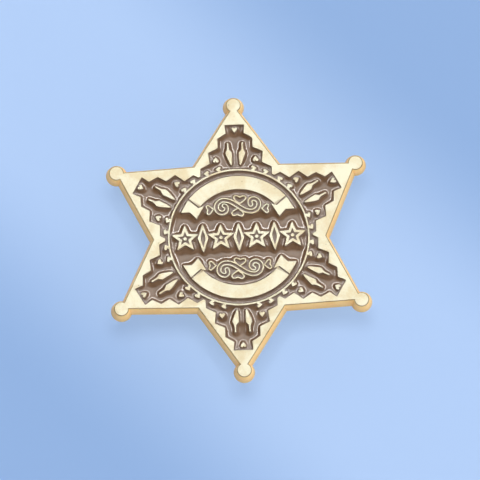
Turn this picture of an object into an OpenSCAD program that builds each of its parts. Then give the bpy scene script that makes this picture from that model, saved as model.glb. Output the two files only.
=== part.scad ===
// Six-pointed star badge with ball tips: a cast plate with raised relief, hard fills in its
// recesses and a pin bar on its back. Millimetres. The face looks up +Z, one tip points along
// +Y, and the pin bar's feet stand on z = 0.

/* [Star] */
// Distance from the centre to where the two edges of a star tip meet
tip_r = 28.5; // [27:0.5:32]
// Distance from the centre to the notch between two arms
notch_r = 17.4; // [16.8:0.1:18.6]
// Thickness of the plate
plate_t = 2.6; // [2:0.1:3.6]
// How far the back edge stands out beyond the edge of the face
side_draft = 0.8; // [0.5:0.1:1.2]
// Rounding between the face and the side wall
face_round = 0.2; // [0.1:0.05:0.4]
// Rounding at the back edge
back_round = 0.5; // [0.2:0.1:0.8]

/* [Ball tips] */
// How far the middle of a ball lies beyond the point where a star tip's edges meet
ball_out = 0.2; // [-0.4:0.1:0.6]
// Radius of a ball tip's flat front
ball_r = 1.4; // [1.2:0.1:2]

/* [Recess] */
// Depth of the recessed ground below the face
recess_depth = 0.9; // [0.6:0.1:1.3]
// Thickness of the coloured fill on that ground
fill_t = 0.45; // [0.3:0.05:0.55]
// Gap between a fill and the walls around it
fill_gap = 0.03; // [0.02:0.01:0.06]
// Radius at the corners of the recesses and of the raised ornaments
corner_r = 0.15; // [0.05:0.05:0.25]

/* [Ring] */
// Inner radius of the raised ring
ring_r = 14.29; // [13.9:0.01:14.8]
// Width of the raised ring
ring_w = 0.36; // [0.32:0.01:0.7]
// Width of the channel between the ring and the face at each notch
ring_channel = 0.57; // [0.4:0.01:0.8]

/* [Arm ornament] */
// Width of a small heart
heart_w = 1.24; // [0.9:0.02:1.5]
// Length of a small heart from its tip to its lobes
heart_l = 1.16; // [0.8:0.02:1.4]
// Clearance between the end of an arm's recess and the heart in it
end_heart_gap = 0.56; // [0.45:0.01:0.7]
// Distance from the ring's outer edge to the middle of a heart that is joined to it
ring_heart_out = 0.48; // [0.42:0.01:0.56]

/* [Banners] */
// Inner radius of a banner
banner_in_r = 10.3; // [9.9:0.1:10.8]
// Outer radius of a banner
banner_out_r = 13.15; // [12.5:0.05:13.3]
// Angle from the upright to a banner's end
banner_half = 49.5; // [44:0.5:51]
// Width of the groove between a banner and its folded tail
fold_groove = 0.3; // [0.2:0.05:0.4]

/* [Scrolls] */
// Distance from the badge's centre to a scroll's centre
scroll_y = 6.72; // [6.6:0.01:6.9]
// Length that the scroll's table of arcs is measured in
scroll_unit = 5; // [4.6:0.1:5.2]
// Width of the scroll's band, between its two raised lines
scroll_band = 0.8; // [0.7:0.02:0.84]
// Width of a raised line of the scroll
scroll_line = 0.27; // [0.25:0.01:0.36]

/* [Centre row] */
// Distance between neighbouring ornaments of the row
row_pitch = 3.7; // [3.6:0.05:3.9]
// Height of an ornament of the row
row_h = 5.7; // [4.8:0.1:5.8]
// Width of a lozenge
lozenge_w = 2.2; // [1.8:0.1:2.4]
// Width of the raised line that draws a star or lozenge
row_line = 0.54; // [0.35:0.01:0.6]
// Radius of the pellet in the middle of a star
pellet_r = 0.36; // [0.3:0.02:0.44]

/* [Pin bar] */
// Height of the pin bar's feet below the back of the plate
foot_h = 4; // [3.7:0.1:5]
// Length of the pin bar
bar_l = 31; // [26:0.5:34]
// Width of the pin bar
bar_w = 6; // [5:0.5:8]
// Thickness of the bar's base strip
bar_t = 0.8; // [0.6:0.1:1.2]
// Length of each foot along the bar
foot_l = 5; // [4:0.5:7]
// Diameter of the pin wire
wire_d = 1; // [0.8:0.1:1.2]
// Room for cloth between the base strip and the wire
wire_gap = 1.2; // [0.8:0.1:1.3]
// Clearance of the pin wire in its catch
catch_gap = 0.15; // [0.1:0.05:0.3]

/* [Hidden] */

ARMS = 6;
LOBE_STEPS = 3;
ROUND_STEPS = 2;
// Turn of a path that one straight stretch may take, and the turn that counts as a corner
ARC_STEP = 22.5;
CORNER = 32;
OVER = 0.5;
BALL_STEPS = 12;
RING_FN = 144;

face_z = foot_h + plate_t;
ball_place_r = tip_r + ball_out;
ground_z = face_z - recess_depth;
ring_out = ring_r + ring_w;
arm_l = tip_r - ring_out;
notch_half = notch_r * sin(180 / ARMS);

// Small departures from a regular star, anticlockwise from the top arm, in shares of tip_r:
// [tip and ball across, up, the notch after them across, up]
CORNER_SHIFT = [
    [0, -0.009, 0.005, 0.009], [0.0035, 0.012, -0.0035, 0.0035],
    [0.0035, -0.002, -0.005, 0.01], [0, 0.009, 0.005, 0.007],
    [-0.0035, 0, 0.0175, -0.014], [-0.0035, 0.023, 0.002, 0.006]
];
// Small departures of the arms' recesses in the same order: [share of arm_l across, out, turn]
PANEL_SHIFT = [
    [0, 0, 0], [0, -0.03, 0], [0, -0.01, 0], [0, 0, 0], [-0.008, -0.025, 0], [-0.03, -0.034, -2]
];
// Outline of an arm's recess, right side from the tip inwards:
// [share of notch_half across, share of arm_l out from the ring]
PANEL = [
    [0.235, 0.69], [0.21, 0.56], [0.415, 0.48], [0.415, 0.335],
    [0.65, 0.265], [0.62, 0.095], [0.85, 0.02]
];
// Outline of a drop with a neck, in the same shares
DROP = [
    [0.195, 0.415], [0.157, 0.405], [0.148, 0.305], [0.08, 0.255], [0.085, 0.08],
    [0.11, 0.055], [0.135, 0.08], [0.22, 0.21], [0.235, 0.255], [0.188, 0.31]
];
// Tip of a heart beside a drop: [share of notch_half across, share of arm_l out]
SIDE_HEART = [0.475, 0.191];
// How far across two hearts that are joined to the ring stand, in shares of notch_half
RING_HEARTS = [0.424, 0.704];
// A banner's folded tail, right side: [share of banner_out_r across, share of it up]
TAIL = [
    [0.895, 0.428], [0.755, 0.43], [0.69, 0.365], [0.652, 0.315], [0.522, 0.532]
];
// Arcs of the scroll's middle line from its centre outwards: [radius in scroll_unit, turn]
SCROLL_LEFT = [[0.62, 35], [0.314, 90], [0.242, 90], [0.185, 90], [0.135, 75]];
SCROLL_RIGHT = [[0.62, 35], [0.314, 90], [0.231, 90], [0.135, 90], [0.285, 24]];
// Straight stretch at the scroll's centre, in scroll_unit, and its slope
SCROLL_STRAIGHT = 0.523;
SCROLL_SLOPE = -35;
// Outlined hearts of a scroll, in scroll_unit: [tip across, tip up, turn, width, length]
SCROLL_HEARTS = [
    [-1.01, -0.115, 96, 0.4, 0.28], [1.0, -0.15, -92, 0.38, 0.28],
    [0.085, 0.09, -4, 0.52, 0.35], [0.015, -0.10, 174, 0.5, 0.34]
];
// Share of an outlined heart's width in each lobe's radius, and of its length in its dip
LOBE = 0.2;
DIP = 0.22;
// The same shares of a small solid heart
SMALL_LOBE = 0.26;
SMALL_DIP = 0.12;
// Inner radius of a five-pointed star as a share of its outer radius
STAR_WAIST = 0.42;
// Rounding at the tips of the row's stars and lozenges
TIP_ROUND = 0.2;

// Edge profile of the plate from the back up: [height, distance outside the face's edge]
function edge_profile() = concat(
    [for (a = [0:45:90])
        [back_round * (1 - cos(a)), side_draft - back_round * (1 - sin(a))]],
    [for (a = [45:-45:0])
        [plate_t - face_round * (1 - cos(a)), face_round * sin(a)]]
);

// Outline moved outwards by d, or inwards where d is negative; points run anticlockwise
function grown(pts, d) = [
    for (i = [0:len(pts) - 1])
        let (
            p = pts[i],
            before = p - pts[(i + len(pts) - 1) % len(pts)],
            after = pts[(i + 1) % len(pts)] - p,
            m = [before[1], -before[0]] / norm(before),
            n = [after[1], -after[0]] / norm(after)
        )
        p + d * (m + n) / max(0.25, 1 + m * n)
];

// Outline with each sharp corner rounded to radius r
function rounded(pts, r) = [
    for (i = [0:len(pts) - 1])
        let (
            p = pts[i],
            before = pts[(i + len(pts) - 1) % len(pts)] - p,
            after = pts[(i + 1) % len(pts)] - p,
            u = before / norm(before),
            v = after / norm(after),
            half = acos(max(-1, min(1, u * v))) / 2,
            steps = 180 - 2 * half > CORNER ? ROUND_STEPS : 0,
            cut = min(r / tan(half), norm(before) / 3, norm(after) / 3)
        )
        for (k = [0:steps])
            let (t = steps == 0 ? 0 : k / steps)
            steps == 0 ? p : p + cut * (u * (1 - t) * (1 - t) + v * t * t)
];

function mirrored(pts) = [for (i = [len(pts) - 1:-1:0]) [-pts[i][0], pts[i][1]]];
function circle_point(c, r, a) = c + r * [cos(a), sin(a)];

// Points of a chain of arcs that turn left, from a place and a heading
function arcs(rows, unit, p, heading, i = 0) = i == len(rows) ? [] :
    let (
        r = rows[i][0] * unit,
        turn = rows[i][1],
        steps = ceil(turn / ARC_STEP),
        c = circle_point(p, r, heading + 90),
        end = circle_point(c, r, heading + turn - 90)
    )
    concat(
        [for (k = [1:steps]) circle_point(c, r, heading - 90 + turn * k / steps)],
        arcs(rows, unit, end, heading + turn, i + 1)
    );
function last_heading(rows, heading) =
    heading + [for (row = rows) 1] * [for (row = rows) row[1]];

// Band of a given width along one half of the scroll: its right side and its left side
function half_band(rows, side) =
    let (
        start = SCROLL_STRAIGHT * scroll_unit * [cos(SCROLL_SLOPE), sin(SCROLL_SLOPE)] / 2,
        mid = concat([start], arcs(rows, scroll_unit, start, SCROLL_SLOPE)),
        n = len(mid) - 1
    )
    [for (i = [0:n])
        let (
            along = mid[min(i + 1, n)] - mid[max(i - 1, 0)],
            out = [along[1], -along[0]] / norm(along)
        )
        mid[i] + side * out * scroll_band / 2];
function band_end(rows) =
    let (
        start = SCROLL_STRAIGHT * scroll_unit * [cos(SCROLL_SLOPE), sin(SCROLL_SLOPE)] / 2,
        mid = arcs(rows, scroll_unit, start, SCROLL_SLOPE),
        heading = last_heading(rows, SCROLL_SLOPE)
    )
    [for (a = [-60:30:60])
        circle_point(mid[len(mid) - 1], scroll_band / 2, heading + a)];
function reversed(pts) = [for (i = [len(pts) - 1:-1:0]) pts[i]];
function half_scroll(rows) =
    concat(half_band(rows, 1), band_end(rows), reversed(half_band(rows, -1)));
function scroll_path() =
    concat(half_scroll(SCROLL_RIGHT), [for (p = half_scroll(SCROLL_LEFT)) -p]);

// Heart with its tip at the origin, opening along +Y: straight sides tangent to two lobes
function heart_path(w, l, lobe_share = LOBE, dip_share = DIP) =
    let (
        r = lobe_share * w,
        c = [w / 2 - r, l - r],
        dip = [0, l * (1 - dip_share)],
        to_lobe = c - dip,
        low = atan2(c[1], c[0]) - 180 + acos(r / norm(c)),
        high = atan2(to_lobe[1], to_lobe[0]) + 180 - acos(r / norm(to_lobe)),
        lobe = [for (k = [0:LOBE_STEPS]) circle_point(c, r, low + (high - low) * k / LOBE_STEPS)]
    )
    concat([[0, 0]], lobe, [dip], mirrored(lobe));

function star_outline(points, r_tip, r_waist) = [
    for (i = [0:2 * points - 1])
        (i % 2 == 0 ? r_tip : r_waist) * [cos(90 + i * 180 / points), sin(90 + i * 180 / points)]
];
function lozenge(w, h) = [[w / 2, 0], [0, h / 2], [-w / 2, 0], [0, -h / 2]];

// Raised line that follows a closed path, its outer corners rounded to radius r
module line(path, w, r = 0) {
    difference() {
        polygon(r > 0 ? rounded(grown(path, w / 2), r) : grown(path, w / 2));
        polygon(grown(path, -w / 2));
    }
}

function turned(p, a) = [p[0] * cos(a) - p[1] * sin(a), p[0] * sin(a) + p[1] * cos(a)];
// A place on arm i, given as on the top arm, moved by that arm's departure
function on_arm(p, i, first) = turned(p, i * 360 / ARMS)
    + tip_r * [CORNER_SHIFT[i][first], CORNER_SHIFT[i][first + 1]];

// Tips and notches of the star, anticlockwise from the top tip
function star_corners() = [
    for (i = [0:ARMS - 1])
        for (corner = [
            on_arm([0, tip_r], i, 0),
            on_arm(notch_r * [-sin(180 / ARMS), cos(180 / ARMS)], i, 2)
        ]) corner
];
// Where the edge from a notch to a tip meets the ball round c
function neck(notch, tip, c, r) =
    let (along = (tip - notch) / norm(tip - notch), m = notch - c, b = m * along)
    notch - (b + sqrt(b * b - m * m + r * r)) * along;

// Outline of arm i with its ball, from the right-hand neck round the ball to the left-hand neck
// and the notch beyond it, at a distance g outside the face's edge
function arm_outline(corners, i, g) =
    let (
        r = ball_r + g,
        c = on_arm([0, ball_place_r], i, 0),
        tip = corners[2 * i],
        left = corners[2 * i + 1],
        a = neck(corners[(2 * i + 2 * ARMS - 1) % (2 * ARMS)], tip, c, r) - c,
        b = neck(left, tip, c, r) - c,
        low = atan2(a[1], a[0]),
        span = (atan2(b[1], b[0]) - low + 720) % 360
    )
    concat(
        [for (k = [0:BALL_STEPS]) circle_point(c, r, low + span * k / BALL_STEPS)],
        [left]
    );
function star_ball_outline(g) =
    let (corners = grown(star_corners(), g))
    [for (i = [0:ARMS - 1]) for (p = arm_outline(corners, i, g)) p];

// Star and balls with their drafted and rounded side wall, cut flat at the back and the face
module body() {
    flat = edge_profile();
    last = len(flat) - 1;
    profile = concat([flat[0] - [OVER, 0]], flat, [flat[last] + [OVER, 0]]);
    rings = len(profile);
    count = ARMS * (BALL_STEPS + 2);
    top = (rings - 1) * count;
    points = concat(
        [for (row = profile)
            for (p = star_ball_outline(row[1])) [p[0], p[1], foot_h + row[0]]],
        [[0, 0, foot_h - OVER], [0, 0, face_z + OVER]]
    );
    width = 2 * (ball_place_r + ball_r + side_draft + OVER);
    intersection() {
        polyhedron(points, [
            for (i = [0:count - 1])
                let (n = (i + 1) % count)
                each concat(
                    [[rings * count, i, n], [rings * count + 1, top + n, top + i]],
                    [for (j = [0:rings - 2])
                        [j * count + n, j * count + i, (j + 1) * count + i, (j + 1) * count + n]]
                )
        ]);
        translate([-width / 2, -width / 2, foot_h])
            cube([width, width, plate_t]);
    }
}

// One arm's recess out to its stepped edge, drawn from the centre
module arm_recess(g) {
    steps = [for (row = reversed(PANEL)) [row[0] * notch_half, ring_out + row[1] * arm_l]];
    foot = [steps[0][0], steps[0][0] / tan(180 / ARMS)];
    side = concat([foot], steps);
    polygon(rounded(grown(concat([[0, 0]], side, mirrored(side)), -g), corner_r));
}

module heart(w, l, g) {
    polygon(grown(heart_path(w, l, SMALL_LOBE, SMALL_DIP), g));
}

// Places what belongs to the recess of arm i, moved by a part of that recess's departure
module in_panel(i, part = 1) {
    rotate(i * 360 / ARMS + part * PANEL_SHIFT[i][2])
        translate(part * arm_l * [PANEL_SHIFT[i][0], PANEL_SHIFT[i][1]])
            children();
}

// Place of a ring heart that stands a distance across from the arm's middle line
function on_ring(across) =
    [across, sqrt(pow(ring_out + ring_heart_out, 2) - across * across)];

module arm_ornament(g) {
    for (side = [0, 1])
        mirror([side, 0]) {
            translate([SIDE_HEART[0] * notch_half, ring_out + SIDE_HEART[1] * arm_l])
                rotate(180)
                    heart(heart_w, heart_l, g);
            polygon(rounded(grown(
                [for (row = DROP) [row[0] * notch_half, ring_out + row[1] * arm_l]], g), corner_r));
            for (across = RING_HEARTS)
                translate(on_ring(across * notch_half) + [heart_w / 2, 0])
                    rotate(90)
                        heart(heart_w, heart_l, g);
        }
}

// Ground of the six arms' recesses and the channel that joins them round the ring
module arms_ground(g) {
    difference() {
        union() {
            circle(ring_out + ring_channel - g, $fn = RING_FN);
            for (i = [0:ARMS - 1])
                in_panel(i)
                    arm_recess(g);
        }
        circle(ring_out + g, $fn = RING_FN);
        for (i = [0:ARMS - 1]) {
            rotate(i * 360 / ARMS)
                arm_ornament(g);
            in_panel(i, 0.4)
                translate([0, ring_out + PANEL[0][1] * arm_l - end_heart_gap - heart_l])
                    heart(heart_w, heart_l, g);
        }
    }
}

module banner(g) {
    far = 2 * banner_out_r * [sin(banner_half), cos(banner_half)];
    intersection() {
        difference() {
            circle(banner_out_r + g, $fn = RING_FN);
            circle(banner_in_r - g, $fn = RING_FN);
        }
        polygon(grown([[0, 0], far, [-far[0], far[1]]], g));
    }
    for (side = [0, 1])
        mirror([side, 0])
            banner_tail(g);
}

module banner_tail(g) {
    end = [sin(banner_half), cos(banner_half)];
    across = [end[1], -end[0]];
    tail = [for (row = TAIL) row * banner_out_r];
    top_out = banner_out_r * end + fold_groove * across;
    top_in = (banner_in_r + 0.1) * end + fold_groove * across;
    polygon(rounded(grown(concat([top_out, top_in], reversed(tail)), g), corner_r));
}

module scroll(g) {
    line(scroll_path(), scroll_line + 2 * g);
    for (row = SCROLL_HEARTS)
        translate([row[0], row[1]] * scroll_unit)
            rotate(row[2])
                line(heart_path(row[3] * scroll_unit, row[4] * scroll_unit), scroll_line + 2 * g);
}

// Row of stars and lozenges across the middle
module centre_row(g) {
    for (i = [-3:3])
        translate([i * row_pitch, 0])
            if (i % 2 != 0) {
                line(star_outline(5, row_h / 2 - row_line, (row_h / 2 - row_line) * STAR_WAIST),
                    row_line + 2 * g, TIP_ROUND);
                circle(pellet_r + g, $fn = 16);
            } else {
                line(lozenge(lozenge_w - row_line, row_h - row_line), row_line + 2 * g, TIP_ROUND);
            }
}

module centre_ornament(g) {
    for (turn = [0, 180])
        rotate(turn) {
            banner(g);
            translate([0, scroll_y])
                scroll(g);
        }
    centre_row(g);
}

module centre_ground(g) {
    difference() {
        circle(ring_r - g, $fn = RING_FN);
        centre_ornament(g);
    }
}

module star_plate() {
    color([0.95, 0.83, 0.55])
        difference() {
            body();
            translate([0, 0, ground_z])
                linear_extrude(recess_depth + OVER) {
                    arms_ground(0);
                    centre_ground(0);
                }
        }
}

module enamel_arms() {
    color([0.36, 0.27, 0.21])
        translate([0, 0, ground_z])
            linear_extrude(fill_t)
                arms_ground(fill_gap);
}

module enamel_centre() {
    color([0.36, 0.27, 0.21])
        translate([0, 0, ground_z])
            linear_extrude(fill_t)
                centre_ground(fill_gap);
}

// Base strip, two feet and a pin wire, all one piece; the wire's free end lies in the catch
module pin_bar() {
    wire_z = foot_h - bar_t - wire_gap - wire_d / 2;
    foot_x = (bar_l - foot_l) / 2;
    slot_r = wire_d / 2 + catch_gap;
    color([0.85, 0.72, 0.48]) {
        difference() {
            union() {
                translate([-bar_l / 2, -bar_w / 2, foot_h - bar_t])
                    cube([bar_l, bar_w, bar_t]);
                for (side = [-1, 1])
                    translate([side * foot_x - foot_l / 2, -bar_w / 2, 0])
                        cube([foot_l, bar_w, foot_h]);
            }
            translate([foot_x - foot_l / 2 - OVER, 0, wire_z])
                rotate([0, 90, 0])
                    cylinder(h = foot_l + 2 * OVER, r = slot_r, $fn = 24);
            translate([foot_x - foot_l / 2 - OVER, -bar_w / 2 - OVER, wire_z - slot_r])
                cube([foot_l + 2 * OVER, bar_w / 2 + OVER, 2 * slot_r]);
        }
        translate([-foot_x, 0, wire_z])
            rotate([0, 90, 0])
                cylinder(h = 2 * foot_x, d = wire_d, $fn = 24);
    }
}

star_plate();
enamel_arms();
enamel_centre();
pin_bar();
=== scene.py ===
"""Six-pointed star badge: a cast gold plate with raised relief, dark enamel and a brooch bar.

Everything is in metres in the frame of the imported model: the face looks up +Z, one tip points
along +Y and the brooch bar's feet stand on z = 0.
"""
import math

import bmesh
import bpy
import numpy as np
from bpy.props import FloatProperty, FloatVectorProperty, IntProperty, PointerProperty
from mathutils import Matrix, Vector
from mathutils.geometry import delaunay_2d_cdt


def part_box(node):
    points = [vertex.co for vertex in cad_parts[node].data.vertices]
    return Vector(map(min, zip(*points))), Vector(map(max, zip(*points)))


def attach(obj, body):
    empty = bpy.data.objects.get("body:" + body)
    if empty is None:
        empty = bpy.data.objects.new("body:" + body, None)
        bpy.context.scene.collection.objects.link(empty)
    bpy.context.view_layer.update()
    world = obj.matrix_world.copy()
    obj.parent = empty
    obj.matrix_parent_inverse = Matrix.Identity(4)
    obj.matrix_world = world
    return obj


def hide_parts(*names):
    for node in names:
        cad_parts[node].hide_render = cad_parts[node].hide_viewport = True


bl_info = {
    "name": "Star badge",
    "version": (1, 0, 0),
    "blender": (4, 5, 0),
    "location": "View3D > Sidebar > Star Badge",
    "description": "Builds a cast star badge with enamel fills and a brooch bar, and its studio",
    "category": "Add Mesh",
}

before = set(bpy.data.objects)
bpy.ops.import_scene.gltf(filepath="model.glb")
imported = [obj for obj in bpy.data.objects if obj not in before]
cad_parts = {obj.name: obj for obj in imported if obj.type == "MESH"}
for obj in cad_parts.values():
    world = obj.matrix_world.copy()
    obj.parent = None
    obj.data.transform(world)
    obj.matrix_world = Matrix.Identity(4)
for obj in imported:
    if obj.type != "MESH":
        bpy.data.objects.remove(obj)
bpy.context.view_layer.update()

MM = 0.001
ARMS = 6
plate_low, plate_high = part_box("star_plate")
FACE_Z = plate_high.z
BACK_Z = plate_low.z
GROUND_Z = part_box("enamel_arms")[0].z
SAME = 0.001 * MM  # corners nearer than this count as one
SHARP = math.radians(32)  # edges that turn by more than this look sharp
# Departures from a regular star, anticlockwise from the top arm, in shares of the tip radius:
# tip and ball across, up, the notch after them across, up
CORNER_SHIFT = np.array([
    [0, -0.009, 0.005, 0.009], [0.0035, 0.012, -0.0035, 0.0035],
    [0.0035, -0.002, -0.005, 0.01], [0, 0.009, 0.005, 0.007],
    [-0.0035, 0, 0.0175, -0.014], [-0.0035, 0.023, 0.002, 0.006]])


# Outlines

LEAST_SPREAD = 0.3  # limits how far the point of a very sharp corner moves
HEART_EDGE = 0.2 * MM  # the edges beside a small heart's dip are shorter than this
# Corners that turn by an angle in this range become curves of so many points. A curve takes up
# to so much of its edges: the first length where it turns by less than BROAD, else the second.
GENTLE = (math.radians(4), math.radians(76))
BROAD = math.radians(32)
CURVE_REACH = (0.7 * MM, 0.22 * MM)
CURVE_POINTS = 3
JOINING = 1e-6  # how near things are joined by the triangulation, which works in millimetres
LEAST_AREA = 1e-16  # twice the area of the smallest triangle that is kept, in square metres


def joined_mesh(node):
    """Corners (n, 3) and triangles (m, 3) of a CAD node, its equal corners joined to one."""
    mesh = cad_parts[node].data
    mesh.calc_loop_triangles()
    corners = np.empty(3 * len(mesh.vertices), dtype=np.float32)
    triangles = np.empty(3 * len(mesh.loop_triangles), dtype=np.int32)
    mesh.vertices.foreach_get("co", corners)
    mesh.loop_triangles.foreach_get("vertices", triangles)
    corners = corners.reshape(-1, 3).astype(float)
    grid = np.round(corners / SAME).astype(np.int64)
    _, first, same = np.unique(grid, axis=0, return_index=True, return_inverse=True)
    triangles = same.reshape(-1)[triangles].reshape(-1, 3)
    whole = (triangles != np.roll(triangles, 1, axis=1)).all(axis=1)
    return corners[first], triangles[whole]


def top_rim(node):
    """Outline of a CAD node's top face: points (n, 2) and the number of each one's next point.

    The rim is made of the edges that only one triangle of the top plane has. The face lies on
    the left of the way round.
    """
    corners, triangles = joined_mesh(node)
    level = np.abs(corners[triangles][:, :, 2] - corners[:, 2].max()) < SAME
    flat = triangles[level.all(axis=1)]
    edge = flat[:, [0, 1, 1, 2, 2, 0]].reshape(-1, 2)
    count = len(corners)
    paired = np.isin(edge[:, 0] * count + edge[:, 1], edge[:, 1] * count + edge[:, 0])
    edge = edge[~paired]
    used, number = np.unique(edge, return_inverse=True)
    number = number.reshape(-1, 2)
    follow = np.full(len(used), -1)
    follow[number[:, 0]] = number[:, 1]
    if len(edge) != len(used) or (follow < 0).any():
        raise RuntimeError(f"the top face of {node} has no clean outline")
    return corners[used, :2], follow


def beside(points, follow):
    """The point before and the point after each point of an outline."""
    before = np.empty_like(follow)
    before[follow] = np.arange(len(follow))
    return points[before], points[follow]


def moved_right(points, follow, distance):
    """Outline moved to its right: p + distance * (m + n) / (1 + m.n).

    m and n are the normals of the edges before and after the point p.
    """
    last, after = beside(points, follow)
    along_in, along_out = points - last, after - points
    m = np.stack([along_in[:, 1], -along_in[:, 0]], axis=1)
    n = np.stack([along_out[:, 1], -along_out[:, 0]], axis=1)
    m /= np.linalg.norm(m, axis=1, keepdims=True)
    n /= np.linalg.norm(n, axis=1, keepdims=True)
    spread = np.maximum(LEAST_SPREAD, 1 + (m * n).sum(axis=1, keepdims=True))
    return points + distance * (m + n) / spread


def spread_out(steps, follow):
    """Numbering for an outline whose point i becomes steps[i] points.

    Gives each new point's owner, its place among the owner's points and its next point.
    """
    start = np.cumsum(steps) - steps
    owner = np.repeat(np.arange(len(steps)), steps)
    place = np.arange(len(owner)) - start[owner]
    last = place == steps[owner] - 1
    new_follow = np.where(last, start[follow[owner]], np.arange(len(owner)) + 1)
    return owner, place, new_follow


def deepened(points, follow, depth):
    """Points of an outline, the dips between a small heart's lobes pushed in by a depth.

    Such a dip is a left turn on short edges between two right turns.
    """
    last, after = beside(points, follow)
    u, v = last - points, after - points
    left = u[:, 1] * v[:, 0] - u[:, 0] * v[:, 1] > 0
    before, behind = beside(left, follow)
    short = np.maximum(np.linalg.norm(u, axis=1), np.linalg.norm(v, axis=1)) < HEART_EDGE
    way = (u + v) / np.linalg.norm(u + v, axis=1, keepdims=True)
    return points - depth * (left & short & ~before & ~behind)[:, None] * way


def curved(points, follow):
    """Outline with its gentle corners drawn as curves: (1-t)^2 a + 2t(1-t) p + t^2 b.

    a and b lie on the corner's two edges, at most halfway along them.
    """
    last, after = beside(points, follow)
    u, v = last - points, after - points
    long_u, long_v = np.linalg.norm(u, axis=1), np.linalg.norm(v, axis=1)
    cosine = (u * v).sum(axis=1) / (long_u * long_v)
    turn = math.pi - np.arccos(np.clip(cosine, -1, 1))
    gentle = (turn > GENTLE[0]) & (turn < GENTLE[1])
    reach = np.where(turn < BROAD, *CURVE_REACH) * gentle
    a = points + u * np.minimum(0.5, reach / long_u)[:, None]
    b = points + v * np.minimum(0.5, reach / long_v)[:, None]
    owner, place, new_follow = spread_out(np.where(gentle, CURVE_POINTS, 1), follow)
    t = ((2 * place + 1) / (2 * CURVE_POINTS))[:, None]
    new = (1 - t) ** 2 * a[owner] + 2 * t * (1 - t) * points[owner] + t ** 2 * b[owner]
    return new, new_follow


def fill_outline(node, sizes):
    """Outline of an enamel fill: the CAD fill's rim, with deeper heart dips and curved corners."""
    points, follow = top_rim(node)
    return curved(deepened(points, follow, sizes.heart_dip), follow)


def divided(points, follow, step):
    """Outline with its edges cut into equal parts no longer than step."""
    after = points[follow]
    parts = np.maximum(1, np.ceil(np.linalg.norm(after - points, axis=1) / step)).astype(int)
    owner, place, new_follow = spread_out(parts, follow)
    t = (place / parts[owner])[:, None]
    return (1 - t) * points[owner] + t * after[owner], new_follow


def inside(points, follow, probes, bands=400):
    """True for each probe with an odd number of the outline's edges to its right.

    The probes are taken in bands of like height, each against the edges that reach into it.
    """
    a, b = points, points[follow]
    low, high = np.minimum(a[:, 1], b[:, 1]), np.maximum(a[:, 1], b[:, 1])
    result = np.zeros(len(probes), dtype=bool)
    for band in np.array_split(np.argsort(probes[:, 1]), bands):
        if not len(band):
            continue
        x, y = probes[band, 0][:, None], probes[band, 1][:, None]
        near = (low <= y.max()) & (high >= y.min())
        p, q = a[near], b[near]
        over = (p[:, 1] > y) != (q[:, 1] > y)
        rise = np.where(q[:, 1] == p[:, 1], 1.0, q[:, 1] - p[:, 1])
        meets = p[:, 0] + (y - p[:, 1]) * (q[:, 0] - p[:, 0]) / rise
        result[band] = (over & (meets > x)).sum(axis=1) % 2 == 1
    return result


def well_inside(points, follow, probes, distance):
    """True for each probe whose eight neighbours at a distance are inside the outline too."""
    angle = np.arange(8) * math.pi / 4
    ring = distance * np.stack([np.cos(angle), np.sin(angle)], axis=1)
    around = (probes[:, None] + ring[None]).reshape(-1, 2)
    return inside(points, follow, around).reshape(-1, 8).all(axis=1)


def filled(points, follow, extra=np.empty((0, 2))):
    """Triangles between the outline's loops, and the points they use: outline, extra, crossings.

    Constrained Delaunay triangles whose middle is inside the outline are kept.
    """
    given = np.concatenate([points, extra])
    edges = np.stack([np.arange(len(points)), follow], axis=1)
    found, _, faces, *_ = delaunay_2d_cdt((given / MM).tolist(), edges.tolist(), [], 0, JOINING)
    found = np.array(found) * MM
    if len(found) < len(given) or np.abs(found[:len(given)] - given).max() > 2 * SAME:
        raise RuntimeError("the outline's points did not come back in their own order")
    faces = np.array(faces)
    faces = faces[inside(points, follow, found[faces].mean(axis=1))]
    p = found[faces]
    u, v = p[:, 1] - p[:, 0], p[:, 2] - p[:, 0]
    area = u[:, 0] * v[:, 1] - u[:, 1] * v[:, 0]
    faces[area < 0] = faces[area < 0][:, ::-1]
    return found, faces[np.abs(area) > LEAST_AREA]


# Surfaces

QUARTER = np.linspace(0, math.pi / 2, 7)  # angles of the rows round an edge
BACK_ROW = 0.05 * MM  # flat row inside the back's rounding
FACE_ROW = 0.15 * MM  # flat row inside the face's edge
RELIEF_ROW = 0.015 * MM  # flat row beside the rounding of the relief's edges
FILL_OVERLAP = 0.004 * MM  # how far a fill reaches into its walls
FILL_EDGE = 0.26 * MM  # longest edge on a fill's outline
FILL_ROWS = (0.07 * MM, 0.18 * MM)  # rows of points along a fill's outline, inside it
ROW_CLEARANCE = 0.6  # share of a row's distance that its points keep to all walls
LATTICE_CLEARANCE = 0.3 * MM  # what the lattice inside a fill keeps to its walls


def lifted(outline, height):
    """Points (x, y) of an outline taken to a height: (x, y, height)."""
    return np.column_stack([outline, np.broadcast_to(height, len(outline))])


def shaded(mesh):
    """The mesh shaded smooth, apart from edges that turn by more than SHARP."""
    mesh.shade_smooth()
    mesh.set_sharp_from_angle(angle=SHARP)
    return mesh


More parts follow.
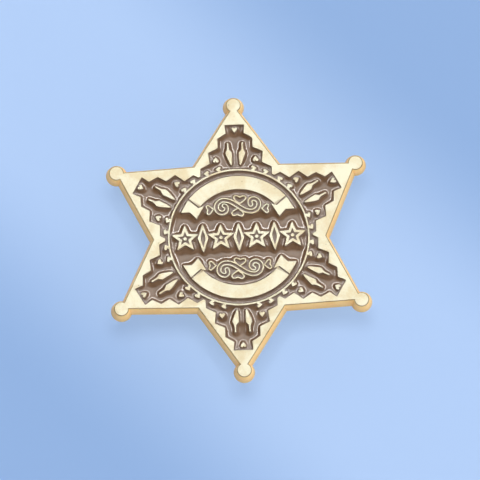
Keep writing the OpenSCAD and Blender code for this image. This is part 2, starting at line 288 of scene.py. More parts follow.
class Shell:
    """Points and faces gathered for one mesh."""

    def __init__(self):
        self.points, self.triangles, self.quads, self.count = [], [], [], 0

    def add(self, points):
        """Takes in points (n, 3) and gives the number of the first."""
        start = self.count
        self.points.append(points)
        self.count += len(points)
        return start

    def ribbon(self, rows, follow):
        """Faces between rows of one outline.

        The rows run upwards for faces that look to the right of the way round, and downwards
        for faces that look to its left.
        """
        here = np.arange(len(follow))
        for near, far in zip(rows[:-1], rows[1:]):
            self.quads.append(np.stack(
                [near + here, near + follow, far + follow, far + here], axis=1))

    def cap(self, outline, follow, rows, height, downwards=False):
        """Flat faces within an outline whose rows are here already; crossings get new points.

        rows gives the first number and the length of each row that the outline is made of.
        """
        flat, faces = filled(outline, follow)
        number = np.concatenate([start + np.arange(width) for start, width in rows])
        crossings = flat[len(number):]
        start = self.add(lifted(crossings, height))
        faces = np.concatenate([number, start + np.arange(len(crossings))])[faces]
        self.triangles.append(faces[:, ::-1] if downwards else faces)

    def mesh(self, name):
        """Shaded mesh of all the points and faces."""
        points = np.concatenate(self.points)
        groups = [np.concatenate(part) for part in (self.triangles, self.quads) if part]
        sizes = np.concatenate([np.full(len(part), part.shape[1]) for part in groups])
        corners = np.concatenate([part.reshape(-1) for part in groups])
        mesh = bpy.data.meshes.new(name)
        mesh.vertices.add(len(points))
        mesh.vertices.foreach_set("co", points.reshape(-1).astype(np.float32))
        mesh.loops.add(len(corners))
        mesh.loops.foreach_set("vertex_index", corners.astype(np.int32))
        mesh.polygons.add(len(sizes))
        mesh.polygons.foreach_set("loop_start", (np.cumsum(sizes) - sizes).astype(np.int32))
        mesh.update(calc_edges=True)
        mesh.validate()
        return shaded(mesh)


def mark(mesh, name, values):
    """Gives each point of a mesh a value, which its material reads by name."""
    values = np.asarray(values, dtype=np.float32)
    mesh.attributes.new(name, "FLOAT", "POINT").data.foreach_set("value", values)


def add_piece(mesh, material, node):
    """Links a finished mesh as the piece that stands for a CAD node."""
    piece = bpy.data.objects.new(mesh.name, mesh)
    bpy.context.scene.collection.objects.link(piece)
    mesh.materials.append(material)
    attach(piece, "root")
    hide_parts(node)
    return piece


def star_outline(sizes, grow):
    """Outline of the star with its balls, anticlockwise, at a distance outside the face's edge.

    The star's edges are moved out by that distance. Each arm gives the arc of its ball, centre +
    r (cos a, sin a) from one edge of the tip to the other, and the notch after it.
    """
    turn = 2 * math.pi / ARMS * np.arange(ARMS)

    def on_arms(radius, angle, shift):
        """One point for each arm at a radius and an angle from its tip, and the arm's shift."""
        return np.stack([-radius * np.sin(turn + angle), radius * np.cos(turn + angle)],
                        axis=1) + sizes.tip_radius * CORNER_SHIFT[:, shift]

    tips = on_arms(sizes.tip_radius, 0, slice(0, 2))
    notches = on_arms(sizes.notch_radius, math.pi / ARMS, slice(2, 4))
    corners = np.stack([tips, notches], axis=1).reshape(-1, 2)
    corners = moved_right(corners, np.roll(np.arange(2 * ARMS), -1), grow)
    tips, left = corners[::2], corners[1::2]
    centre = on_arms(sizes.tip_radius + sizes.ball_out, 0, slice(0, 2))
    r = sizes.ball_radius + grow

    def neck(notch):
        """Angle at which the edge from a notch to its tip meets the ball."""
        along = (tips - notch) / np.linalg.norm(tips - notch, axis=1, keepdims=True)
        m = notch - centre
        b = (m * along).sum(axis=1)
        meets = m - (b + np.sqrt(b * b - (m * m).sum(axis=1) + r * r))[:, None] * along
        return np.arctan2(meets[:, 1], meets[:, 0])

    low = neck(np.roll(left, 1, axis=0))
    span = (neck(left) - low) % (2 * math.pi)
    angle = low[:, None] + span[:, None] * np.linspace(0, 1, sizes.ball_steps + 1)
    arcs = centre[:, None] + r * np.stack([np.cos(angle), np.sin(angle)], axis=2)
    return np.concatenate([arcs, left[:, None]], axis=1).reshape(-1, 2)


def side_profile(sizes):
    """Rows of the plate's side: height above the back and distance outside the face's edge.

    Two quarter circles round the edges, and the drafted wall between them is straight. The first
    row lies flat on the back and the last one on the face.
    """
    back, top = sizes.back_round, sizes.face_round
    thick = FACE_Z - BACK_Z
    sine, cosine = np.sin(QUARTER), np.cos(QUARTER)
    return np.vstack([
        [[0, sizes.draft - back - BACK_ROW]],
        np.stack([back * (1 - cosine), sizes.draft - back * (1 - sine)], axis=1),
        np.stack([thick - top * (1 - cosine), top * sine], axis=1)[::-1],
        [[thick, -FACE_ROW]]])


def relief_profile(sizes):
    """Rows of the relief's walls: distance from the wall and height, from the face down.

    A flat row, a quarter circle round the edge and the foot of the upright wall.
    """
    edge, angle = sizes.relief_round, QUARTER[::2]
    return np.vstack([
        [[edge + RELIEF_ROW, FACE_Z]],
        np.stack([edge * (1 - np.sin(angle)), FACE_Z - edge * (1 - np.cos(angle))], axis=1),
        [[0, GROUND_Z]]])


def plate_mesh(sizes):
    """The plate: star outline carried up its side, relief walls carried round the fills.

    Its points carry two values: outward is the distance outside the face's edge in millimetres,
    and -1 away from the side; sunk is 1 from the foot of the relief's rounding down, and 0 above.
    """
    shell = Shell()
    side = side_profile(sizes)
    outlines = [star_outline(sizes, grow) for _, grow in side]
    width = len(outlines[0])
    round_star = np.roll(np.arange(width), -1)
    rows = [shell.add(lifted(outline, BACK_Z + height))
            for outline, (height, _) in zip(outlines, side)]
    shell.ribbon(rows, round_star)
    shell.cap(outlines[0], round_star, [(rows[0], width)], BACK_Z, downwards=True)

    arms, arms_follow = fill_outline("enamel_arms", sizes)
    centre, centre_follow = fill_outline("enamel_centre", sizes)
    follow = np.concatenate([arms_follow, centre_follow + len(arms)])
    wall = moved_right(np.concatenate([arms, centre]), follow, sizes.fill_gap)
    relief = relief_profile(sizes)
    lines = [moved_right(wall, follow, away) for away, _ in relief]
    steps = [shell.add(lifted(line, height)) for line, (_, height) in zip(lines, relief)]
    shell.ribbon(steps, follow)
    shell.cap(np.concatenate([outlines[-1], lines[0]]),
              np.concatenate([round_star, follow + width]),
              [(rows[-1], width), (steps[0], len(wall))], FACE_Z)
    shell.cap(lines[-1], follow, [(steps[-1], len(wall))], GROUND_Z)

    mesh = shell.mesh("gold_star_plate")
    sunk = np.zeros(len(mesh.vertices))
    sunk[steps[-3]:] = 0.5
    sunk[steps[-2]:] = 1.0
    outward = np.full(len(mesh.vertices), -1.0)
    outward[:rows[-1] + width] = np.repeat(side[:, 1] / MM, width)
    mark(mesh, "sunk", sunk)
    mark(mesh, "outward", outward)
    return mesh


def meniscus(points, triangles, wall, reach, rounds=600, tolerance=1e-6):
    """Skin of a fill that climbs its walls: solves u = reach^2 laplace(u), u = 1 at the walls.

    Linear elements on the triangles, solved by conjugate gradients in so many rounds at most.
    """
    count = len(points)
    p = points[triangles]
    side = p[:, [2, 0, 1]] - p[:, [1, 2, 0]]
    double = side[:, 0, 0] * side[:, 1, 1] - side[:, 0, 1] * side[:, 1, 0]
    slope = -(side[:, [1, 2, 0]] * side[:, [2, 0, 1]]).sum(axis=2) / double[:, None]
    i, j = triangles[:, [1, 2, 0]].reshape(-1), triangles[:, [2, 0, 1]].reshape(-1)
    weight = 0.5 * reach ** 2 * slope.reshape(-1)
    mass = np.bincount(triangles.reshape(-1), np.repeat(double / 6, 3), count)
    whole = mass + np.bincount(i, weight, count) + np.bincount(j, weight, count)

    def applied(u):
        """What the equation gives for u at each point, 0 where it holds."""
        flow = weight * (u[i] - u[j])
        return mass * u + np.bincount(i, flow, count) - np.bincount(j, flow, count)

    free = (~wall).astype(float)
    u = wall.astype(float)
    left = -applied(u) * free
    start = np.abs(left).max()
    scaled = left / whole
    way, strength = scaled.copy(), left @ scaled
    for _ in range(rounds):
        pushed = applied(way) * free
        amount = strength / (way @ pushed)
        u += amount * way
        left -= amount * pushed
        if np.abs(left).max() < tolerance * start:
            break
        scaled = left / whole
        fresh = left @ scaled
        way = scaled + fresh / strength * way
        strength = fresh
    return u


def fill_mesh(sizes, node, name):
    """One enamel fill: its outline filled with a lattice, its top raised towards the walls.

    The top lies at ground + depth + rise * climb. Its points carry climb, from 1 at a wall to 0.
    """
    points, follow = fill_outline(node, sizes)
    points = moved_right(points, follow, sizes.fill_gap + FILL_OVERLAP)
    points, follow = divided(points, follow, FILL_EDGE)
    inner = []
    for away in FILL_ROWS:
        row = moved_right(points, follow, -away)
        inner.append(row[well_inside(points, follow, row, ROW_CLEARANCE * away)])
    step = sizes.lattice
    low, high = points.min(axis=0), points.max(axis=0)
    x, y = np.meshgrid(np.arange(low[0], high[0], step),
                       np.arange(low[1], high[1], step * math.sqrt(3) / 2))
    x = x + step / 2 * (np.arange(len(x)) % 2)[:, None]
    lattice = np.stack([x.reshape(-1), y.reshape(-1)], axis=1)
    lattice = lattice[inside(points, follow, lattice)]
    inner.append(lattice[well_inside(points, follow, lattice, LATTICE_CLEARANCE)])
    flat, faces = filled(points, follow, np.concatenate(inner))
    used = np.unique(faces)
    number = np.full(len(flat), -1)
    number[used] = np.arange(len(used))
    wall = (np.arange(len(flat)) < len(points))[used]
    flat, faces, follow = flat[used], number[faces], number[follow]
    climb = meniscus(flat, faces, wall, sizes.enamel_reach)
    shell = Shell()
    upper = shell.add(
        lifted(flat, GROUND_Z + sizes.enamel_depth + sizes.enamel_rise * climb))
    lower = shell.add(lifted(flat, GROUND_Z))
    shell.triangles += [faces + upper, faces[:, ::-1] + lower]
    here = number[:len(points)]
    shell.quads.append(np.stack(
        [upper + follow, upper + here, lower + here, lower + follow], axis=1))
    mesh = shell.mesh(name)
    mark(mesh, "climb", np.concatenate([climb, np.ones(len(flat))]))
    return mesh


def bar_mesh():
    """Copy of the CAD bar, its equal corners joined and its flat faces made whole.

    The operator's bevel then rounds its edges.
    """
    corners, triangles = joined_mesh("pin_bar")
    mesh = bpy.data.meshes.new("brooch_bar")
    mesh.from_pydata(corners.tolist(), [], triangles.tolist())
    work = bmesh.new()
    work.from_mesh(mesh)
    bmesh.ops.dissolve_limit(work, angle_limit=math.radians(1), verts=work.verts, edges=work.edges)
    work.to_mesh(mesh)
    work.free()
    return shaded(mesh)


# Materials

def is_output(value):
    """True for a node's output, False for a plain value."""
    return isinstance(value, bpy.types.NodeSocket)


def feed(tree, node, sources):
    """Gives a node's inputs, by number or name, a value or another node's output each."""
    for key, value in sources.items():
        if is_output(value):
            tree.links.new(value, node.inputs[key])
        else:
            node.inputs[key].default_value = value


def linked(tree, kind, sources=None, **settings):
    """New node with its settings and what feeds its inputs."""
    node = tree.nodes.new(kind)
    for key, value in settings.items():
        setattr(node, key, value)
    feed(tree, node, sources or {})
    return node


def maths(tree, operation, *values):
    """Result of an operation on values or outputs."""
    return linked(tree, "ShaderNodeMath", dict(enumerate(values)), operation=operation).outputs[0]


def blended(tree, factor, a, b):
    """Mix of two colours, each an output or its red, green and blue."""
    a, b = (colour if is_output(colour) else (*colour, 1) for colour in (a, b))
    return linked(tree, "ShaderNodeMix", {0: factor, 6: a, 7: b}, data_type="RGBA").outputs[2]


def stepped(tree, value, low, high, to_low=0.0, to_high=1.0):
    """A value's stretch from low to high, eased and carried to another stretch."""
    return linked(tree, "ShaderNodeMapRange",
                  dict(enumerate((value, low, high, to_low, to_high))),
                  interpolation_type="SMOOTHSTEP").outputs[0]


def carried(tree, name):
    """The value of this name that the piece's points carry."""
    return linked(tree, "ShaderNodeAttribute", attribute_name=name).outputs["Fac"]


def bumped(tree, height, strength, distance):
    """Normal of a surface that is raised by distance * height, softened by a strength."""
    return linked(tree, "ShaderNodeBump", {
        "Strength": strength, "Distance": distance, "Height": height}).outputs[0]


def cast_surface_group():
    """Cast and plated metal: cloudy patches, a fine skin and a few pits, as masks and a height."""
    tree = bpy.data.node_groups.new("Cast surface", "ShaderNodeTree")
    face = tree.interface
    face.new_socket("Position", in_out="INPUT", socket_type="NodeSocketVector")
    for name, default in (("Cloud scale", 260.0), ("Skin scale", 2600.0), ("Pit scale", 900.0),
                          ("Pit share", 0.15)):
        socket = face.new_socket(name, in_out="INPUT", socket_type="NodeSocketFloat")
        socket.default_value = default
    for name in ("Clouds", "Skin", "Pits", "Height"):
        face.new_socket(name, in_out="OUTPUT", socket_type="NodeSocketFloat")
    given = tree.nodes.new("NodeGroupInput").outputs
    clouds = linked(tree, "ShaderNodeTexNoise", {
        "Vector": given["Position"], "Scale": given["Cloud scale"], "Detail": 4.0,
        "Roughness": 0.6, "Distortion": 0.4}).outputs[0]
    skin = linked(tree, "ShaderNodeTexNoise", {
        "Vector": given["Position"], "Scale": given["Skin scale"], "Detail": 2.0}).outputs[0]
    # A pit is the round middle of a cell, in the share of the cells that a random colour picks
    cells = linked(tree, "ShaderNodeTexVoronoi", {
        "Vector": given["Position"], "Scale": given["Pit scale"], "Randomness": 1.0})
    chosen = linked(tree, "ShaderNodeSeparateColor", {0: cells.outputs["Color"]}).outputs[0]
    near = stepped(tree, cells.outputs["Distance"], 0.06, 0.2, 1.0, 0.0)
    pits = maths(tree, "MULTIPLY", near, maths(tree, "LESS_THAN", chosen, given["Pit share"]))
    height = maths(tree, "SUBTRACT", maths(tree, "MULTIPLY", skin, 0.35), pits)
    height = maths(tree, "MULTIPLY_ADD", clouds, 1.2, height)
    feed(tree, tree.nodes.new("NodeGroupOutput"),
         {"Clouds": clouds, "Skin": skin, "Pits": pits, "Height": height})
    return tree


def cast_surface(tree, position, values=None):
    """Outputs of the cast surface's group, placed in a material with its own values."""
    group = bpy.data.node_groups.get("Cast surface") or cast_surface_group()
    return linked(tree, "ShaderNodeGroup", {"Position": position, **(values or {})},
                  node_tree=group).outputs


def new_material(name):
    """Empty material: itself, its nodes, its Principled shader and the position on the piece."""
    material = bpy.data.materials.new(name)
    material.use_nodes = True
    tree = material.node_tree
    tree.nodes.clear()
    shader = tree.nodes.new("ShaderNodeBsdfPrincipled")
    output = tree.nodes.new("ShaderNodeOutputMaterial")
    tree.links.new(shader.outputs[0], output.inputs[0])
    position = tree.nodes.new("ShaderNodeTexCoord").outputs["Object"]
    return material, tree, shader, position


def plated_gold(colours):
    """Gold plating over the casting: satin, pale on the face as a painted highlight, deeper on the
    walls.
    """
    material, tree, shader, position = new_material("Plated gold")
    surface = cast_surface(tree, position)
    height = linked(tree, "ShaderNodeSeparateXYZ", {0: position}).outputs[2]
    # Mask of the flat face, where the paler gold is a painted highlight of the lit face
    on_face = stepped(tree, height, FACE_Z - 0.09 * MM, FACE_Z - 0.01 * MM)
    back = stepped(tree, height, BACK_Z + 0.1 * MM, BACK_Z + 0.5 * MM, 1.0, 0.0)
    # Both golds are mottled by the clouds with some of the skin
    mottled = maths(tree, "MULTIPLY_ADD", surface["Skin"], 0.35, surface["Clouds"])
    clouds = stepped(tree, mottled, 0.57, 0.86)
    face = blended(tree, clouds, colours.face_gold, colours.face_gold_warm)
    wall = blended(tree, clouds, colours.wall_gold, colours.wall_gold_deep)
    colour = blended(tree, on_face, wall, face)
    # Painted shade darkens the side towards the back, and a painted shade line follows the face's
    # edge
    low = maths(tree, "MULTIPLY", stepped(tree, height, BACK_Z, BACK_Z + 0.4 * MM),
                stepped(tree, height, BACK_Z + 0.1 * MM, FACE_Z - 0.5 * MM, 0.75, 0.0))
    colour = blended(tree, low, colour, colours.shaded_wall_low)
    outward = carried(tree, "outward")
    # A painted shade line along the face's rounded edge
    rim = maths(tree, "MULTIPLY", stepped(tree, outward, -0.08, -0.01),
                stepped(tree, outward, 0.1, 0.18, 0.85, 0.0))
    colour = blended(tree, rim, colour, colours.edge_shade_and_pits)
    # The relief's walls are darkened, partly as enamel smear and partly as painted shade, and the
    # pits are darkened
    smear_shade_mask = maths(tree, "MULTIPLY", carried(tree, "sunk"), 0.85)
    colour = blended(tree, smear_shade_mask, colour, colours.wall_smear_and_shade)
    darkened_pits = maths(tree, "MULTIPLY", surface["Pits"], 0.45)
    colour = blended(tree, darkened_pits, colour, colours.edge_shade_and_pits)
    rough = stepped(tree, surface["Clouds"], 0.3, 0.7, 0.47, 0.53)
    rough = maths(tree, "ADD", rough, stepped(tree, on_face, 0.0, 1.0, 0.04, 0.0))
    feed(tree, shader, {
        "Base Color": colour,
        "Roughness": maths(tree, "MULTIPLY_ADD", back, -0.2, rough),
        "Metallic": stepped(tree, maths(tree, "ADD", on_face, back), 0.0, 1.0,
                            colours.wall_metallic, 1.0),
        "Normal": bumped(tree, surface["Height"], 0.35, 0.012 * MM)})
    return material


def soft_enamel(colours):
    """Glossy brown enamel, cloudy within, darker beside walls as painted shade, with a faint dust
    in its skin.
    """
    material, tree, shader, position = new_material("Soft enamel")
    clouds = linked(tree, "ShaderNodeTexNoise", {
        "Vector": position, "Scale": 330.0, "Detail": 4.0, "Roughness": 0.6}).outputs[0]
    dust = linked(tree, "ShaderNodeTexNoise", {
        "Vector": position, "Scale": 3200.0, "Detail": 2.0}).outputs[0]
    colour = blended(tree, stepped(tree, clouds, 0.35, 0.68), colours.enamel,
                     colours.enamel_light)
    # Painted shade: the enamel darkens beside its walls, and grows rougher there
    near_wall = stepped(tree, carried(tree, "climb"), 0.4, 0.85)
    colour = blended(tree, maths(tree, "MULTIPLY", near_wall, 0.6), colour, colours.enamel_shaded)
    rough = stepped(tree, clouds, 0.3, 0.7, 0.06, 0.12)
    height = maths(tree, "MULTIPLY_ADD", clouds, 4.0, maths(tree, "MULTIPLY", dust, 0.3))
    feed(tree, shader, {
        "Base Color": colour,
        "Roughness": maths(tree, "MULTIPLY_ADD", near_wall, 0.25, rough),
        "IOR": 1.7,
        "Specular IOR Level": 0.7,
        "Normal": bumped(tree, height, 0.3, 0.01 * MM)})
    return material


def bar_gold(colours):
    """Thin plating on the brooch bar, with fine lines drawn along it."""
    material, tree, shader, position = new_material("Bar plating")
    surface = cast_surface(tree, position, {"Cloud scale": 420.0, "Pit share": 0.2})
    along = linked(tree, "ShaderNodeMapping", {
        "Vector": position, "Scale": (60.0, 5200.0, 5200.0)})
    lines = linked(tree, "ShaderNodeTexNoise", {
        "Vector": along.outputs[0], "Scale": 1.0, "Detail": 3.0}).outputs[0]
    height = maths(tree, "ADD", lines, surface["Height"])
    feed(tree, shader, {
        "Base Color": blended(tree, stepped(tree, surface["Clouds"], 0.35, 0.7),
                              colours.bar_gold, colours.wall_gold_deep),
        "Roughness": stepped(tree, lines, 0.3, 0.7, 0.26, 0.42),
        "Metallic": 1.0,
        "Normal": bumped(tree, height, 0.4, 0.01 * MM)})
    return material


def floor_card(colours):
    """Plain matte card, lit partly from within so that shadows on it stay faint.

    It deepens with the distance from a line that runs under the badge from corner to corner.
    """
    material, tree, shader, position = new_material("Pale card")
    across = linked(tree, "ShaderNodeVectorMath", {0: position, 1: (0.7071, 0.7071, 0)},
                    operation="DOT_PRODUCT").outputs["Value"]
    shade = stepped(tree, maths(tree, "ABSOLUTE", across), 16 * MM, 52 * MM)
    colour = blended(tree, shade, colours.floor, colours.floor_far)
    feed(tree, shader, {
        "Base Color": blended(tree, 1 - colours.floor_glow, (0, 0, 0), colour),
        "Emission Color": colour,
        "Emission Strength": colours.floor_glow,
        "Roughness": 0.9,
        "Specular IOR Level": 0.1})
    return material


# Stage

PICTURE = 480  # the picture's width in pixels
AIM = (1.19, 3.05)  # pixels from the badge's middle to the picture's, to the right and down
SENSOR = 36.0  # the camera's sensor width in millimetres
FLOOR_REACH = 3.0  # from the middle of the floor to its sides
SOFTBOX_AWAY = 0.8  # from the badge to the softbox
SOFTBOX_ANGLE = math.radians(5.5)  # half the softbox's width, seen from the badge
# Angles from the window's middle in degrees: where it starts, where it has the rim's radiance,
# where that starts to fade, and where it has faded to the core's
WINDOW_ANGLES = (22, 20.5, 19, 17)


def view_directions(studio):
    """Camera's right, up and back directions, and where the face mirrors its view to."""
    turn, lift = studio.turn, studio.elevation
    level = Vector((-math.sin(turn), -math.cos(turn), 0))
    back = level * math.cos(lift) + Vector((0, 0, math.sin(lift)))
    right = Vector((math.cos(turn), -math.sin(turn), 0))
    mirrored = -level * math.cos(lift) + Vector((0, 0, math.sin(lift)))
    return right, back.cross(right), back, mirrored


def add_floor(scene):
    """Level square on z = 0, under the brooch bar's feet."""
    mesh = bpy.data.meshes.new("floor")
    far = FLOOR_REACH
    mesh.from_pydata([(-far, -far, 0), (far, -far, 0), (far, far, 0), (-far, far, 0)], [],
                     [(0, 1, 2, 3)])
    mesh.materials.append(floor_card(scene.badge_colours))
    card = bpy.data.objects.new("floor", mesh)
    scene.collection.objects.link(card)


def add_camera(scene):
    """Camera at the photograph's angle, its picture view_width wide at the badge."""
    studio = scene.badge_studio
    right, up, back, _ = view_directions(studio)
    pixel = studio.view_width / PICTURE
    aim = Vector((0, 0, FACE_Z)) + right * (AIM[0] * pixel) - up * (AIM[1] * pixel)
    camera = bpy.data.cameras.new("camera")
    camera.sensor_width = SENSOR
    camera.lens = SENSOR * studio.distance / studio.view_width
    camera.clip_start, camera.clip_end = 0.05, 20.0
    holder = bpy.data.objects.new("camera", camera)
    holder.matrix_world = (Matrix.Translation(aim + back * studio.distance)
                           @ Matrix((right, up, back)).transposed().to_4x4())
    scene.collection.objects.link(holder)
    scene.camera = holder


def add_softbox(scene):
    """Square light that the face mirrors to the camera; its power is radiance * pi * width^2."""
    direction = view_directions(scene.badge_studio)[3]
    width = SOFTBOX_AWAY * 2 * math.tan(SOFTBOX_ANGLE)
    light = bpy.data.lights.new("softbox", "AREA")
    light.shape = "SQUARE"
    light.size = width
    light.color = (1.0, 0.96, 0.9)
    light.energy = scene.badge_studio.softbox * math.pi * width ** 2
    lamp = bpy.data.objects.new("softbox", light)
    lamp.location = direction.normalized() * SOFTBOX_AWAY
    lamp.rotation_euler = direction.to_track_quat("Z", "Y").to_euler()
    scene.collection.objects.link(lamp)


def add_room(scene):
    """Room light: brighter to the right and near the horizon, with a round window.

    The window is a bright ring round the direction that the face mirrors to the camera. It gives
    the enamel its fine highlights.
    """
    studio = scene.badge_studio
    world = bpy.data.worlds.new("room")
    scene.world = world
    world.use_nodes = True
    tree = world.node_tree
    direction = tree.nodes.new("ShaderNodeTexCoord").outputs["Generated"]
    way = linked(tree, "ShaderNodeSeparateXYZ", {0: direction})
    side = stepped(tree, way.outputs[0], -0.75, 0.35, 0.45, 1.2)
    height = stepped(tree, way.outputs[2], 0.15, 0.6, 1.9, studio.dome)
    room = maths(tree, "MULTIPLY", maths(tree, "MULTIPLY", side, height), studio.fill)
    near = linked(tree, "ShaderNodeVectorMath", {0: direction, 1: view_directions(studio)[3]},
                  operation="DOT_PRODUCT").outputs["Value"]
    outer, full, fading, core = (math.cos(math.radians(angle)) for angle in WINDOW_ANGLES)
    window = stepped(tree, near, fading, core, studio.window, studio.window_core)
    window = maths(tree, "MULTIPLY", window, stepped(tree, near, outer, full))
    window = maths(tree, "MULTIPLY", window, stepped(tree, way.outputs[1], 0.1, 0.27))
    feed(tree, tree.nodes["Background"], {
        "Strength": maths(tree, "ADD", window, room), "Color": (1.0, 0.97, 0.93, 1)})


# Properties

def length(name, description, default, low, high):
    """Length property whose default and limits are given in millimetres."""
    return FloatProperty(name=name, description=description, default=default * MM,
                         min=low * MM, max=high * MM, unit="LENGTH", precision=5)


def tint(name, description, default):
    """Colour property from red, green and blue."""
    return FloatVectorProperty(name=name, description=description, default=default, size=3,
                               min=0.0, max=1.0, subtype="COLOR")


class BadgeSizes(bpy.types.PropertyGroup):
    tip_radius: length("Tip radius", "Centre to where a tip's edges meet", 28.5, 27, 32)
    notch_radius: length("Notch radius", "Centre to the notch between two arms", 17.4, 16.8, 18.6)
    ball_out: length("Ball out", "Ball's middle beyond the point of its tip", 0.2, -0.4, 0.6)
    ball_radius: length("Ball radius", "Radius of a ball's flat front", 1.4, 1.2, 2)
    ball_steps: IntProperty(name="Ball steps", description="Parts of a ball's arc",
                            default=44, min=12, max=96)
    draft: length("Draft", "How far the back edge stands out beyond the face's", 0.8, 0.5, 1.2)
    face_round: length("Face rounding", "Rounding between the face and the side", 0.2, 0.1, 0.4)
    back_round: length("Back rounding", "Rounding at the back edge", 0.5, 0.2, 0.8)
    fill_gap: length("Fill gap", "Gap that the CAD fills keep to their walls", 0.03, 0.02, 0.06)
    heart_dip: length("Heart dip", "Added depth between a small heart's lobes", 0.14, 0, 0.2)
    relief_round: length("Relief rounding", "Rounding of the relief's edges", 0.06, 0.02, 0.1)
    enamel_depth: length("Enamel depth", "Enamel's depth where it is level", 0.3, 0.1, 0.6)
    enamel_rise: length("Enamel rise", "How far the enamel climbs its walls", 0.4, 0.0, 0.6)
    enamel_reach: length("Enamel reach", "How far from a wall the climb fades", 0.6, 0.2, 1.5)
    lattice: length("Lattice", "Distance between points in the middle of a fill", 0.3, 0.2, 0.6)
    bar_round: length("Bar rounding", "Rounding of the brooch bar's edges", 0.12, 0.05, 0.3)


class BadgeColours(bpy.types.PropertyGroup):
    # Face gold and its warm patches are paled as a painted highlight of the lit face
    face_gold: tint("Face gold", "Polished plating", (0.672, 0.654, 0.52))
    face_gold_warm: tint("Warm face gold", "Patches of the polished plating", (0.635, 0.565, 0.39))
    wall_gold: tint("Wall gold", "Plating on the side and the relief's walls", (1.0, 0.66, 0.25))
    wall_gold_deep: tint("Deep wall gold", "Patches of the walls' plating", (0.95, 0.58, 0.2))
    # Low wall: painted shade, darkening the side near the back and the floor
    shaded_wall_low: tint("Low wall", "Plating low on the side, near the back", (0.72, 0.42, 0.15))
    # Rim line: painted shade along the face's edge; it also darkens the pits
    edge_shade_and_pits: tint("Rim line", "Worn line along the face's edge", (0.22, 0.165, 0.075))
    # Stained wall: partly enamel smear, partly painted shade in the recesses
    wall_smear_and_shade: tint("Stained wall", "Walls of the relief, smeared with enamel", (0.2, 0.11, 0.045))
    enamel: tint("Enamel", "Dark enamel", (0.142, 0.068, 0.023))
    # Deep enamel: painted shade beside the walls
    enamel_shaded: tint("Deep enamel", "Enamel beside its walls", (0.1, 0.046, 0.015))
    enamel_light: tint("Cloudy enamel", "Paler clouds in the enamel", (0.195, 0.105, 0.05))
    bar_gold: tint("Bar gold", "Plating on the brooch bar", (0.95, 0.76, 0.42))
    floor: tint("Floor", "Pale card that the badge lies on", (0.465, 0.65, 0.99))
    floor_far: tint("Floor corners", "The card towards two of its corners", (0.3, 0.47, 0.8))
    floor_glow: FloatProperty(name="Floor glow", default=0.6, min=0.0, max=1.0,
                              description="Share of the floor's light from within")
    wall_metallic: FloatProperty(name="Wall metallic", description="How metallic the walls look",
                                 default=0.1, min=0.0, max=1.0)


class BadgeStudio(bpy.types.PropertyGroup):
    elevation: FloatProperty(name="Elevation", description="Camera's height above the horizon",
                             default=math.radians(74.1), subtype="ANGLE")
    turn: FloatProperty(name="Turn", description="Turn of the badge in the picture",
                        default=math.radians(2.31), subtype="ANGLE")
    view_width: length("View width", "Width of the picture at the badge", 99.09, 60, 200)
    distance: FloatProperty(name="Distance", description="Camera to badge", default=1.6,
                            unit="LENGTH")
    softbox: FloatProperty(name="Softbox", description="Radiance of the overhead softbox",
                           default=0.5, min=0.0)
    fill: FloatProperty(name="Fill", description="Radiance of the room", default=1.22, min=0.0)
    dome: FloatProperty(name="Dome", description="Share of the room's radiance overhead",
                        default=0.3, min=0.0)
    window: FloatProperty(name="Window", description="Radiance of the window's rim",
                          default=17.0, min=0.0)
    window_core: FloatProperty(name="Window core", description="Radiance of the window's middle",
                               default=1.15, min=0.0)


# Operators

class BADGE_OT_plate(bpy.types.Operator):
    """Cast plate with its ball tips and all the raised relief"""
    bl_idname = "badge.plate"
    bl_label = "Gold star plate"

    def execute(self, context):
        scene = context.scene
        mesh = plate_mesh(scene.badge_sizes)
        add_piece(mesh, plated_gold(scene.badge_colours), "star_plate")
        return {"FINISHED"}


class BADGE_OT_enamel(bpy.types.Operator):
    """The two enamel fills, in the arms and inside the ring"""
    bl_idname = "badge.enamel"
    bl_label = "Enamel fills"

    def execute(self, context):
        scene = context.scene
        material = soft_enamel(scene.badge_colours)
        for node, name in (("enamel_arms", "arm_enamel"), ("enamel_centre", "centre_enamel")):
            add_piece(fill_mesh(scene.badge_sizes, node, name), material, node)
        return {"FINISHED"}


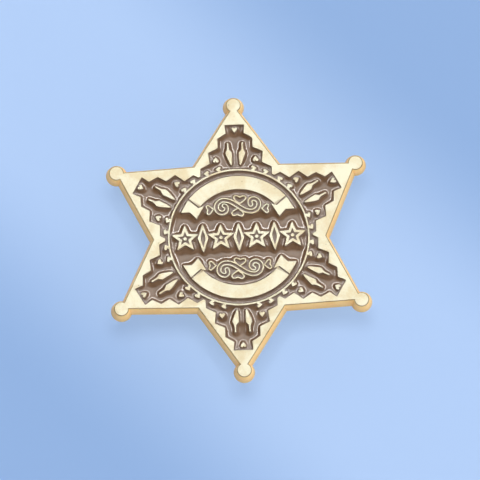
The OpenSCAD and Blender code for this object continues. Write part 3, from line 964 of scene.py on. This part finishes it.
class BADGE_OT_brooch_bar(bpy.types.Operator):
    """Brooch bar on the back: base strip, two feet and pin wire"""
    bl_idname = "badge.brooch_bar"
    bl_label = "Brooch bar"

    def execute(self, context):
        scene = context.scene
        piece = add_piece(bar_mesh(), bar_gold(scene.badge_colours), "pin_bar")
        bevel = piece.modifiers.new("Rounded edges", "BEVEL")
        bevel.width = scene.badge_sizes.bar_round
        bevel.segments = 3
        bevel.limit_method = "ANGLE"
        bevel.angle_limit = math.radians(40)
        bevel.harden_normals = True
        return {"FINISHED"}


class BADGE_OT_studio(bpy.types.Operator):
    """Floor, camera, softbox and room light"""
    bl_idname = "badge.studio"
    bl_label = "Studio"

    def execute(self, context):
        scene = context.scene
        add_floor(scene)
        add_camera(scene)
        add_softbox(scene)
        add_room(scene)
        scene.view_settings.view_transform = "Standard"
        return {"FINISHED"}


class BADGE_PT_panel(bpy.types.Panel):
    """The badge's operators, sizes, colours and studio"""
    bl_idname = "BADGE_PT_panel"
    bl_label = "Star badge"
    bl_space_type = "VIEW_3D"
    bl_region_type = "UI"
    bl_category = "Star Badge"

    def draw(self, context):
        for operator in OPERATORS:
            self.layout.operator(operator.bl_idname)
        for group in (context.scene.badge_sizes, context.scene.badge_colours,
                      context.scene.badge_studio):
            box = self.layout.box()
            for name in group.__annotations__:
                box.prop(group, name)


OPERATORS = (BADGE_OT_plate, BADGE_OT_enamel, BADGE_OT_brooch_bar, BADGE_OT_studio)
CLASSES = (BadgeSizes, BadgeColours, BadgeStudio, *OPERATORS, BADGE_PT_panel)


def register():
    for part in CLASSES:
        bpy.utils.register_class(part)
    bpy.types.Scene.badge_sizes = PointerProperty(type=BadgeSizes)
    bpy.types.Scene.badge_colours = PointerProperty(type=BadgeColours)
    bpy.types.Scene.badge_studio = PointerProperty(type=BadgeStudio)


def unregister():
    del bpy.types.Scene.badge_studio
    del bpy.types.Scene.badge_colours
    del bpy.types.Scene.badge_sizes
    for part in reversed(CLASSES):
        bpy.utils.unregister_class(part)


def main():
    register()
    bpy.ops.badge.plate()
    bpy.ops.badge.enamel()
    bpy.ops.badge.brooch_bar()
    bpy.ops.badge.studio()


if __name__ == "__main__":
    main()
